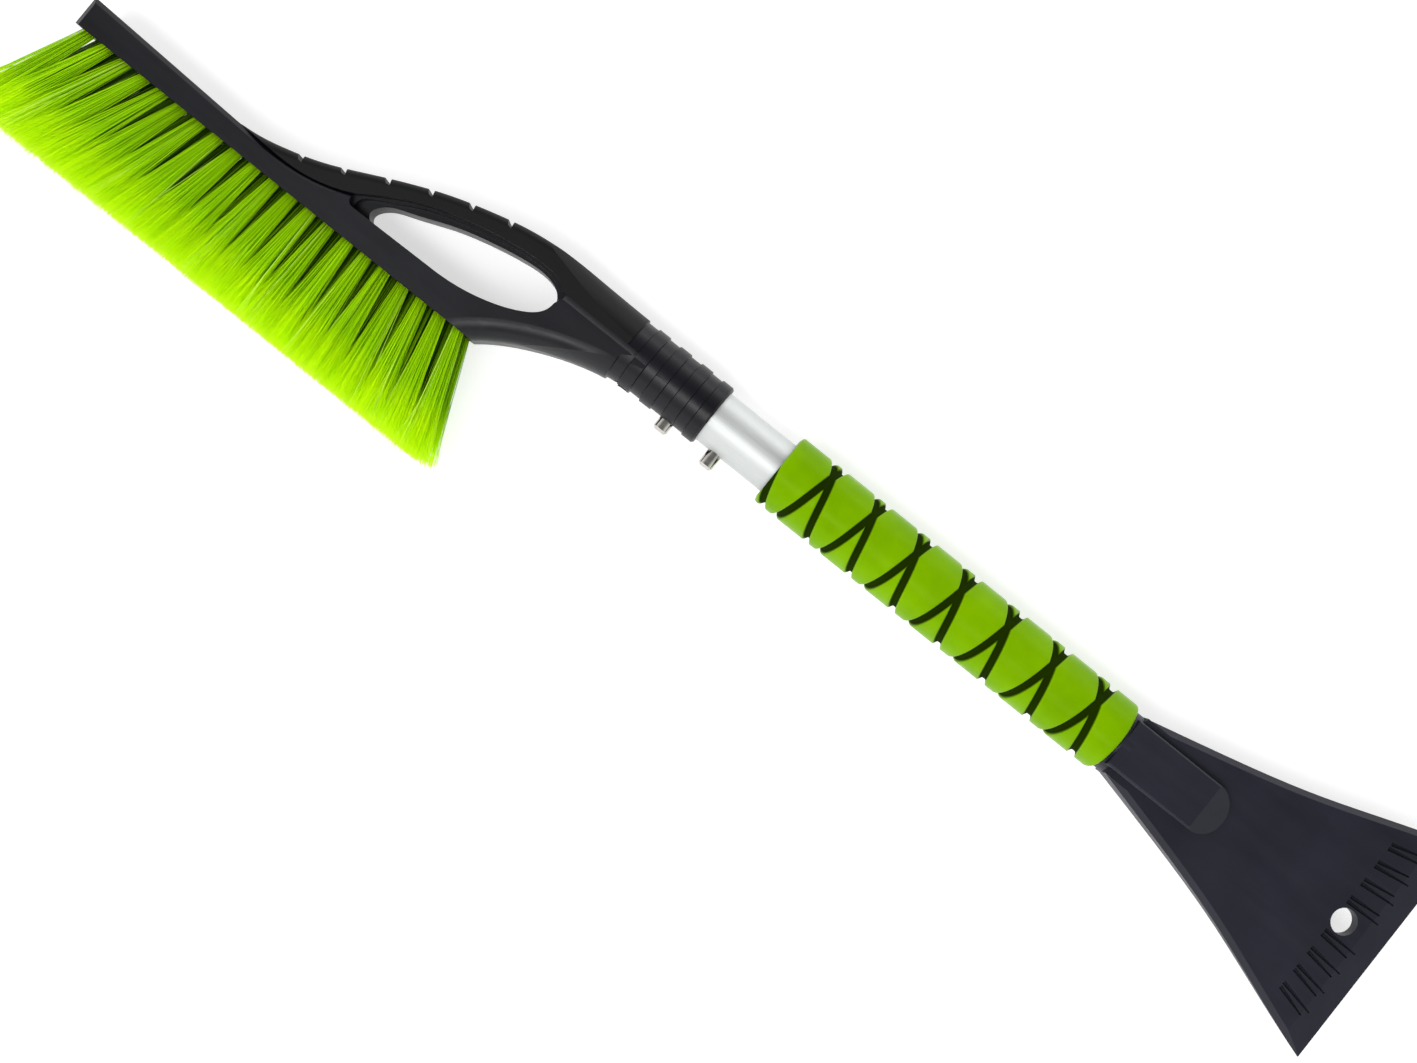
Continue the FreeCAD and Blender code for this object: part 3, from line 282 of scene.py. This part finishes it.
def floor_paint():
    """White light table: it gives off a little light of its own, so shadows on it stay pale."""
    look = Look("floor_paint", Roughness=0.9, Emission_Color=(1.0, 1.0, 1.0, 1.0),
                Emission_Strength=TABLE_GLOW)
    cloud = look.noise(1.5, 3.0)
    look.colour(look.ramp(cloud, [(0.2, (0.54, 0.54, 0.54)), (0.8, (0.57, 0.57, 0.57))]))
    look.bump((look.noise(40.0, 3.0), 0.2 * MM))
    return look.material


# ---------------------------------------------------------------- mesh helpers

def new_piece(name, points, faces, material, smooth=True):
    mesh = bpy.data.meshes.new(name)
    mesh.from_pydata(points.tolist(), [], faces)
    mesh.materials.append(material)
    mesh.polygons.foreach_set("use_smooth", [smooth] * len(mesh.polygons))
    mesh.update()
    piece = bpy.data.objects.new(name, mesh)
    bpy.context.scene.collection.objects.link(piece)
    return piece


def add_attribute(piece, name, values):
    attribute = piece.data.attributes.new(name, "FLOAT", "POINT")
    attribute.data.foreach_set("value", np.asarray(values, np.float32).ravel())


def dress(node, material):
    """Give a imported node's surfaces one material."""
    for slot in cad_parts[node].material_slots:
        slot.material = material


def grid_faces(rings, count, closed_rings=False):
    """Quads between rings of count points each; the last ring meets the first if closed."""
    faces = []
    for ring in range(rings if closed_rings else rings - 1):
        here = ring * count
        there = ((ring + 1) % rings) * count
        for k in range(count):
            step = (k + 1) % count
            faces.append((here + k, here + step, there + step, there + k))
    return faces


def smooth_step(value, low, high):
    t = np.clip((value - low) / (high - low), 0.0, 1.0)
    return t * t * (3.0 - 2.0 * t)


# ---------------------------------------------------------------- foam grip

GRIP_RINGS = 414                   # mesh rings along the grip
GRIP_SIDES = 200                   # and points round each
GROOVE_LEAD = 24.86 * MM
GROOVE_CROSSING = 20.5 * MM        # grip's brush end to the first crossing
GROOVE_ANGLE = math.radians(39.0)  # crossings above the front middle line
GROOVE_FLOOR = 0.9 * MM            # half width of the groove's floor
GROOVE_EDGE = 2.2 * MM             # half width where the skin starts to dip
GROOVE_DEPTH = 2.15 * MM
THINNEST_SKIN = 0.1 * MM           # green left between a groove and the bore, at least
END_ROUND = 1.7 * MM
# hand of each groove and how far it wanders from an even helix: places along the grip, drifts
GROOVE_DRIFT = [(1, (0.020, 0.045, 0.130, 0.180), (0.0, -0.0008, -0.0008, -0.0003)),
                (-1, (0.020, 0.045, 0.070, 0.180), (0.0, -0.0017, -0.0028, -0.0027))]


def groove_depth(x, angle, radius):
    """Share of full depth, 0 to 1, of the two crossing helical grooves."""
    slope = math.cos(math.atan(GROOVE_LEAD / (2 * math.pi * radius)))
    deepest = np.zeros(np.broadcast(x, angle).shape)
    for hand, drift_places, drifts in GROOVE_DRIFT:
        drift = np.interp(x, drift_places, drifts)
        turned = hand * (angle - GROOVE_ANGLE) / (2 * math.pi)
        offset = x - drift - GROOVE_CROSSING - GROOVE_LEAD * turned
        across = (np.mod(offset + GROOVE_LEAD / 2, GROOVE_LEAD) - GROOVE_LEAD / 2) * slope
        share = 1.0 - smooth_step(np.abs(across), GROOVE_FLOOR, GROOVE_EDGE)
        deepest = np.maximum(deepest, share)
    return deepest


def make_foam_cover(material):
    """Green sleeve with two opposite-hand grooves, rounded ends and a bore over the dark layer."""
    low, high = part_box("foam_cover")
    length = high.x - low.x
    radius = (high.z - low.z) / 2
    core_low, core_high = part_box("foam_core")
    bore = (core_high.z - core_low.z) / 2
    x = np.linspace(0.0, length, GRIP_RINGS)[:, None]
    angle = np.linspace(0.0, 2 * math.pi, GRIP_SIDES, endpoint=False)[None, :]
    share = groove_depth(x, angle, radius)
    to_end = np.minimum(x, length - x)
    inset = END_ROUND - np.minimum(to_end, END_ROUND)
    drop = END_ROUND - np.sqrt(np.maximum(END_ROUND ** 2 - inset ** 2, 0.0))
    outer = np.maximum(radius - drop - GROOVE_DEPTH * share, bore + THINNEST_SKIN)
    ring_x = np.concatenate([x.ravel(), [length, 0.0]])
    ring_radius = np.vstack([outer, np.full((2, GRIP_SIDES), bore)])
    cut = np.vstack([share, np.ones((2, GRIP_SIDES))])
    points = np.stack([np.broadcast_to(ring_x[:, None] + low.x, ring_radius.shape),
                       AXIS_Y + ring_radius * np.sin(angle),
                       AXIS_Z + ring_radius * np.cos(angle)], axis=2).reshape(-1, 3)
    faces = grid_faces(GRIP_RINGS + 2, GRIP_SIDES, closed_rings=True)
    piece = new_piece("foam_grip_cover", points, faces, material)
    add_attribute(piece, "cut_depth", cut)
    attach(piece, "tool")
    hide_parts("foam_cover")
    return piece


# ---------------------------------------------------------------- bristles

FIBRES = 96               # filaments in a tuft
FIBRE_RADIUS = 0.21 * MM
TIP_RADIUS = 0.10 * MM
BUNDLE_RADIUS = 2.5 * MM   # tuft radius in its hole
TIP_SPREAD = 2.7           # growth of the bundle from the hole to the tips, along the bar
TIP_THICKEN = 2.1          # the same across the bar
INNER_FULLNESS = 1.3       # how much wider the bundles of the two inner rows start
FLAG_START = 0.60          # where along a filament its tip starts to split
FLAGS = 3
FLAG_SWAY = 2.1 * MM
TRIM_SCATTER = 1.8 * MM
STRAY_SHARE = 0.03
# the next four numbers set where shade is painted on the filaments deep in the brush
ROW_INSIDE = 5.5 * MM      # half thickness of the brush's shaded middle
ROW_OUTSIDE = 8.5 * MM     # half thickness at which filaments are fully lit
DARK_UNTIL = 0.40          # share of a tuft's length that stays dark in the middle
LIT_FROM = 0.85            # share of its length from which it is fully lit
RING_SIDES = 3             # corners of a filament's cross-section
FIBRE_SHARES = np.array([0.0, 0.16, 0.33, 0.50, 0.66, 0.83, 1.0])  # places of a filament's rings
FLAG_SHARES = np.array([0.0, 0.4, 0.75, 1.0])                      # the same on a split end
USUAL_SPREAD = (-0.15, 0.15)   # how much more than its tuft a filament spreads
STRAY_SPREAD = (0.4, 1.6)      # the same for a stray
DRIFT = 0.6 * MM               # bend of a filament away from its place in the tuft
WAVE = (0.05, 0.2)             # waviness in millimetres
WAVE_TURNS = (9.0, 7.0)        # radians of it from hole to tip, along the bar and across it
ROW_GAP = 3 * MM               # rows are at least this far apart in thickness
RING_GAP = 1.2 * MM            # rings of points in a row are this far apart along the bar
SEAT_BAND = 3 * MM             # CAD points this far inside the bar's bristle face are in the hole
TIP_BAND = 2.6 * MM            # CAD points this near the lowest one are at the trim line
FLOOR_GAP = 0.4 * MM           # filaments stay this far above what the tool lies on
SIDE_REACH = 2.0 * MM          # and this far, at most, past the tool's thickness above


def split_at_gaps(values, gap):
    """Groups of indices of values, split wherever the sorted values jump by more than gap."""
    order = np.argsort(values)
    jumps = np.where(np.diff(values[order]) > gap)[0] + 1
    return np.split(order, jumps)


def ring_centres(points):
    """Centres of the separate rings of points in one row, in order along the bar."""
    return [(points[group].min(0) + points[group].max(0)) / 2
            for group in split_at_gaps(points[:, 0], RING_GAP)]


def tuft_axes(node):
    """(start in the hole, end at the trim line) for every tuft of a bristle node."""
    points = np.array([v.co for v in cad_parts[node].data.vertices])
    axes = []
    for row in split_at_gaps(points[:, 2], ROW_GAP):
        member = points[row]
        seats = ring_centres(member[member[:, 1] > BAR_LOW.y + SEAT_BAND])
        tips = ring_centres(member[member[:, 1] < BRISTLE_LOW + TIP_BAND])
        axes += list(zip(seats, tips))
    return axes


def perpendicular_pair(direction):
    """Directions across a tuft: along the bar, and through its thickness."""
    side = np.cross(direction, (0.0, 0.0, 1.0))
    side /= np.linalg.norm(side)
    return side, np.cross(direction, side)


def fibre_lines(rng, start, end):
    """(centre line, radii, shares along the tuft, tone) of each filament and split tip."""
    axis = end - start
    length = np.linalg.norm(axis)
    direction = axis / length
    side, other = perpendicular_pair(direction)
    fullness = INNER_FULLNESS if abs(start[2] - AXIS_Z) < ROW_INSIDE else 1.0
    lines = []
    for _ in range(FIBRES):
        angle = rng.uniform(0, 2 * math.pi)
        reach = BUNDLE_RADIUS * math.sqrt(rng.uniform(0, 1))
        stray = rng.uniform() < STRAY_SHARE
        extra = rng.uniform(*STRAY_SPREAD) if stray else rng.uniform(*USUAL_SPREAD)
        drift = rng.normal(0, DRIFT, 2)
        phase = rng.uniform(0, 2 * math.pi)
        wave = rng.uniform(*WAVE) * MM
        total = 1.0 + rng.uniform(-TRIM_SCATTER, 0.4 * TRIM_SCATTER) / length
        # a leaning tuft is trimmed along the bar, so one side of it is longer than the other
        beside_axis = reach * math.cos(angle) * (TIP_SPREAD + extra) + drift[0]
        total -= beside_axis * side[1] / (length * direction[1])
        t = FIBRE_SHARES * total
        widen = fullness + (TIP_SPREAD - fullness + extra) * t
        thicken = fullness + (TIP_THICKEN - fullness + 0.3 * extra) * t
        first = reach * math.cos(angle) * widen + drift[0] * t ** 2
        second = reach * math.sin(angle) * thicken + 0.5 * drift[1] * t ** 2
        first = first + wave * np.sin(phase + WAVE_TURNS[0] * t) * t
        second = second + wave * np.cos(phase + WAVE_TURNS[1] * t) * t
        centre = (start + np.outer(t * length, direction)
                  + np.outer(first, side) + np.outer(second, other))
        radius = FIBRE_RADIUS + (TIP_RADIUS - FIBRE_RADIUS) * smooth_step(t, FLAG_START, 1.0)
        tone = 1.0 if stray else rng.uniform(0.0, 0.9)
        lines.append((keep_in_thickness(centre), radius, t, tone))
        for _ in range(FLAGS):
            lines.append(flag_line(rng, centre, (side, other), length, tone))
    return lines


def flag_line(rng, centre, across, length, tone):
    """One fine split end that leaves a filament near its tip."""
    t = FLAG_SHARES
    knot = int(np.searchsorted(FIBRE_SHARES, FLAG_START)) - int(rng.uniform() < 0.5)
    root = centre[knot]
    heading = centre[-1] - root
    heading /= np.linalg.norm(heading)
    reach = (1.0 - FIBRE_SHARES[knot]) * length + rng.uniform(-1.4, 0.5) * TRIM_SCATTER
    sway = rng.normal(0, FLAG_SWAY, 2) * (1.0, 0.5)
    line = root + np.outer(t * reach, heading)
    line = line + np.outer(sway[0] * t ** 1.5, across[0]) + np.outer(sway[1] * t ** 1.5, across[1])
    radius = TIP_RADIUS * (1.0 - 0.45 * t)
    share = FIBRE_SHARES[knot] + (1.0 - FIBRE_SHARES[knot]) * t
    return keep_in_thickness(line), radius, share, tone


def keep_in_thickness(line):
    """Filaments on the underside lie against the table, the upper ones hardly stand proud."""
    held = line.copy()
    held[:, 2] = np.clip(line[:, 2], CAD_BOX[0].z + FLOOR_GAP, CAD_BOX[1].z + SIDE_REACH)
    return held


def tube_mesh(lines):
    """Three-sided tapered tubes round the lines, as points, faces and two attributes."""
    points, faces, along, strand = [], [], [], []
    first = 0
    turns = np.arange(RING_SIDES) * 2 * math.pi / RING_SIDES
    for centre, radius, share, tone in lines:
        heading = np.gradient(centre, axis=0)
        heading /= np.linalg.norm(heading, axis=1)[:, None]
        side = np.cross(heading, (0.0, 0.0, 1.0))
        side /= np.linalg.norm(side, axis=1)[:, None]
        other = np.cross(heading, side)
        ring = (centre[:, None, :]
                + radius[:, None, None] * (np.cos(turns)[None, :, None] * side[:, None, :]
                                           + np.sin(turns)[None, :, None] * other[:, None, :]))
        points.append(ring.reshape(-1, 3))
        along.append(np.repeat(share, RING_SIDES))
        strand.append(np.full(len(centre) * RING_SIDES, tone))
        rings = len(centre)
        for face in grid_faces(rings, RING_SIDES):
            faces.append(tuple(first + index for index in face))
        faces.append(tuple(first + k for k in reversed(range(RING_SIDES))))
        last = first + (rings - 1) * RING_SIDES
        faces.append(tuple(last + k for k in range(RING_SIDES)))
        first += rings * RING_SIDES
    return np.vstack(points), faces, np.concatenate(along), np.concatenate(strand)


def painted_shade_depth(points, along):
    """Painted shade: 0 where light would reach a filament, 1 deep between the rows near the bar."""
    off_middle = np.abs(points[:, 2] - AXIS_Z)
    inside = 1.0 - smooth_step(off_middle, ROW_INSIDE, ROW_OUTSIDE)
    return inside * (1.0 - smooth_step(along, DARK_UNTIL, LIT_FROM))


def make_bristles(node, name, material):
    """Filaments for one packed bristle node."""
    rng = np.random.default_rng(SEED + len(node) * 31 + ord(node[-1]))
    lines = []
    for start, end in tuft_axes(node):
        lines += fibre_lines(rng, start, end)
    points, faces, along, strand = tube_mesh(lines)
    piece = new_piece(name, points, faces, material)
    add_attribute(piece, "along", along)
    add_attribute(piece, "strand", strand)
    # the depth attribute carries the painted shade between the rows
    add_attribute(piece, "depth", painted_shade_depth(points, along))
    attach(piece, "brush_head")
    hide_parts(node)
    return piece


# ---------------------------------------------------------------- lock springs

SPRING_STRIP = 0.9 * MM     # strip thickness
SPRING_FLAT = 5.5 * MM      # half length of the flat under the button
SPRING_BEND = 3.0 * MM      # radius of the bend
BEND_POINTS = 13
SPRING_CHAMFER = 0.25 * MM  # on the strip's long edges
SPRING_STEP = 0.8 * MM      # mesh step along the strip, about


def spring_path(button_x, carry_y, rest_y, towards, reach):
    """Centre line of the bent strip: leg under the button, bend, leg on the far wall."""
    bend_x = button_x + towards * (reach - SPRING_BEND)
    path = [(button_x - towards * SPRING_FLAT, carry_y), (button_x + towards * SPRING_FLAT, carry_y)]
    for angle in np.linspace(-math.pi / 2, math.pi / 2, BEND_POINTS):
        path.append((bend_x + towards * SPRING_BEND * math.cos(angle),
                     AXIS_Y + SPRING_BEND * math.sin(angle)))
    path += [(button_x + towards * SPRING_FLAT, rest_y), (button_x - towards * SPRING_FLAT, rest_y)]
    return resample(np.array(path), SPRING_STEP)


def resample(path, step):
    """The same path with its long stretches cut into pieces of about one step."""
    points = [path[0]]
    for a, b in zip(path, path[1:]):
        pieces = max(1, int(np.linalg.norm(b - a) / step))
        points += [a + (b - a) * (k + 1) / pieces for k in range(pieces)]
    return np.array(points)


def make_lock_spring(node, button, towards, material):
    """Bent strip that carries a lock button."""
    low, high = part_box(node)
    button_low, button_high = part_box(button)
    button_x = (button_low.x + button_high.x) / 2
    reach = high.x - button_x if towards > 0 else button_x - low.x
    half = SPRING_STRIP / 2
    rest_y = high.y - half
    path = spring_path(button_x, low.y + half, rest_y, towards, reach - half)
    heading = np.gradient(path, axis=0)
    heading /= np.linalg.norm(heading, axis=1)[:, None]
    normal = np.stack([-heading[:, 1], heading[:, 0]], axis=1)
    width = (high.z - low.z) / 2
    thin = half - SPRING_CHAMFER
    wide = width - SPRING_CHAMFER
    section = [(-half, -wide), (-thin, -width), (thin, -width), (half, -wide),
               (half, wide), (thin, width), (-thin, width), (-half, wide)]
    rings = []
    for lift, across in section:
        line = path + normal * lift
        rings.append(np.column_stack([line, np.full(len(line), AXIS_Z + across)]))
    points = np.stack(rings, axis=1).reshape(-1, 3)
    count = len(section)
    faces = grid_faces(len(path), count)
    faces.append(tuple(reversed(range(count))))
    faces.append(tuple(range((len(path) - 1) * count, len(path) * count)))
    piece = new_piece(node + "_strip", points, faces, material, smooth=False)
    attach(piece, "tool")
    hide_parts(node)
    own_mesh(piece)
    return piece


# ---------------------------------------------------------------- room, light and camera

FLOOR_REACH = 12.0         # half side of the floor
FLOOR_DROP = 0.2 * MM      # how far the floor lies under the tool
# brightness of the white tent by height: 0 is the horizon and everything below, 1 straight above
TENT_LEVELS = [(0.0, 1.7), (0.25, 1.35), (0.6, 0.9), (0.9, 0.25)]
TENT_STRENGTH = 0.8
SOFTBOX_WIDTH = 0.4
# name, place, length in metres, power in watts
SOFTBOXES = [("key_softbox", (-0.1, -0.55, 1.5), 1.6, 16.0),
             ("near_side_softbox", (0.0, -1.3, 0.45), 2.0, 2.0),
             ("far_side_softbox", (0.0, 1.3, 0.45), 2.0, 5.0)]


def make_floor(material):
    corners = [(-1, -1, 0), (1, -1, 0), (1, 1, 0), (-1, 1, 0)]
    points = np.array(corners, float) * FLOOR_REACH
    points[:, 2] = CAD_BOX[0].z - FLOOR_DROP
    floor = new_piece("studio_floor", points, [(0, 1, 2, 3)], material, smooth=False)


def add_softbox(name, place, length, power):
    """Long area light that faces the middle of the tool."""
    light = bpy.data.lights.new(name, "AREA")
    light.shape = "RECTANGLE"
    light.size = length
    light.size_y = SOFTBOX_WIDTH
    light.energy = power
    lamp = bpy.data.objects.new(name, light)
    lamp.location = place
    lamp.rotation_euler = (-Vector(place)).to_track_quat("-Z", "Y").to_euler()
    bpy.context.scene.collection.objects.link(lamp)


def light_the_room():
    """White tent, dimmer straight above, with a key light and long softboxes on both sides."""
    world = bpy.data.worlds.new("studio")
    bpy.context.scene.world = world
    world.use_nodes = True
    tree = world.node_tree
    background = tree.nodes["Background"]
    direction = tree.nodes.new("ShaderNodeTexCoord")
    split = tree.nodes.new("ShaderNodeSeparateXYZ")
    ramp = tree.nodes.new("ShaderNodeValToRGB")
    tree.links.new(direction.outputs["Generated"], split.inputs["Vector"])
    tree.links.new(split.outputs["Z"], ramp.inputs["Fac"])
    tree.links.new(ramp.outputs["Color"], background.inputs["Color"])
    set_stops(ramp, [(height, (level, level, level)) for height, level in TENT_LEVELS])
    background.inputs["Strength"].default_value = TENT_STRENGTH
    for name, place, length, power in SOFTBOXES:
        add_softbox(name, place, length, power)


CAMERA_LENS = 47.04
CAMERA_PLACE = (344.644 * MM, -65.719 * MM, 799.795 * MM)  # from the bar's free end, from the axis
CAMERA_TILT = (1.386, -1.192, 38.733)                      # degrees about X, Y and Z


def place_camera():
    """Almost straight above the middle of the tool, turned so that it lies across the frame."""
    lens = bpy.data.cameras.new("product_camera")
    lens.sensor_width = 36.0
    lens.lens = CAMERA_LENS
    camera = bpy.data.objects.new("product_camera", lens)
    from_bar, from_axis, above_axis = CAMERA_PLACE
    camera.location = (BAR_LOW.x + from_bar, AXIS_Y + from_axis, AXIS_Z + above_axis)
    camera.rotation_euler = Euler([math.radians(angle) for angle in CAMERA_TILT], "XYZ")
    bpy.context.scene.collection.objects.link(camera)
    bpy.context.scene.camera = camera


# ---------------------------------------------------------------- the tool

def main():
    scene = bpy.context.scene
    scene.view_settings.view_transform = "Standard"
    hard = moulded_plastic("hard_plastic", dark=(0.0026, 0.0028, 0.0048),
                           light=(0.0046, 0.0050, 0.0082),
                           roughness=0.36, grain_depth=0.01 * MM, shine=0.30)
    blade = moulded_plastic("blade_plastic", dark=(0.0078, 0.0082, 0.0160),
                            light=(0.0118, 0.0124, 0.0225),
                            roughness=0.42, grain_depth=0.01 * MM, shine=0.32)
    soft = moulded_plastic("soft_plastic", dark=(0.0020, 0.0021, 0.0025),
                           light=(0.0034, 0.0035, 0.0042),
                           roughness=0.50, grain_depth=0.02 * MM, shine=0.22)
    aluminium = brushed_aluminium()
    chrome = plated_steel("button_chrome", bright=(0.62, 0.60, 0.56), roughness=0.12)
    spring_steel = plated_steel("steel", bright=(0.62, 0.63, 0.65), roughness=0.30)
    lime = bristle_nylon()
    dark_foam = foam_inside()
    finishes = {"brush_frame": hard, "scraper_blade": blade, "tube_plug": hard, "soft_grip": soft,
                "handle_tube": aluminium, "head_lock_button": chrome, "grip_lock_button": chrome,
                "scraper_screws": spring_steel, "tuft_staples": spring_steel,
                "foam_core": dark_foam}
    for node, material in finishes.items():
        dress(node, material)
    make_foam_cover(foam_surface())
    for row in (1, 2, 3, 4):
        make_bristles("bristle_row_%d" % row, "bristle_fibres_%d" % row, lime)
    make_bristles("end_tufts", "end_tuft_fibres", lime)
    make_lock_spring("head_lock_spring", "head_lock_button", -1, spring_steel)
    make_lock_spring("grip_lock_spring", "grip_lock_button", 1, spring_steel)
    make_floor(floor_paint())
    light_the_room()
    place_camera()


main()
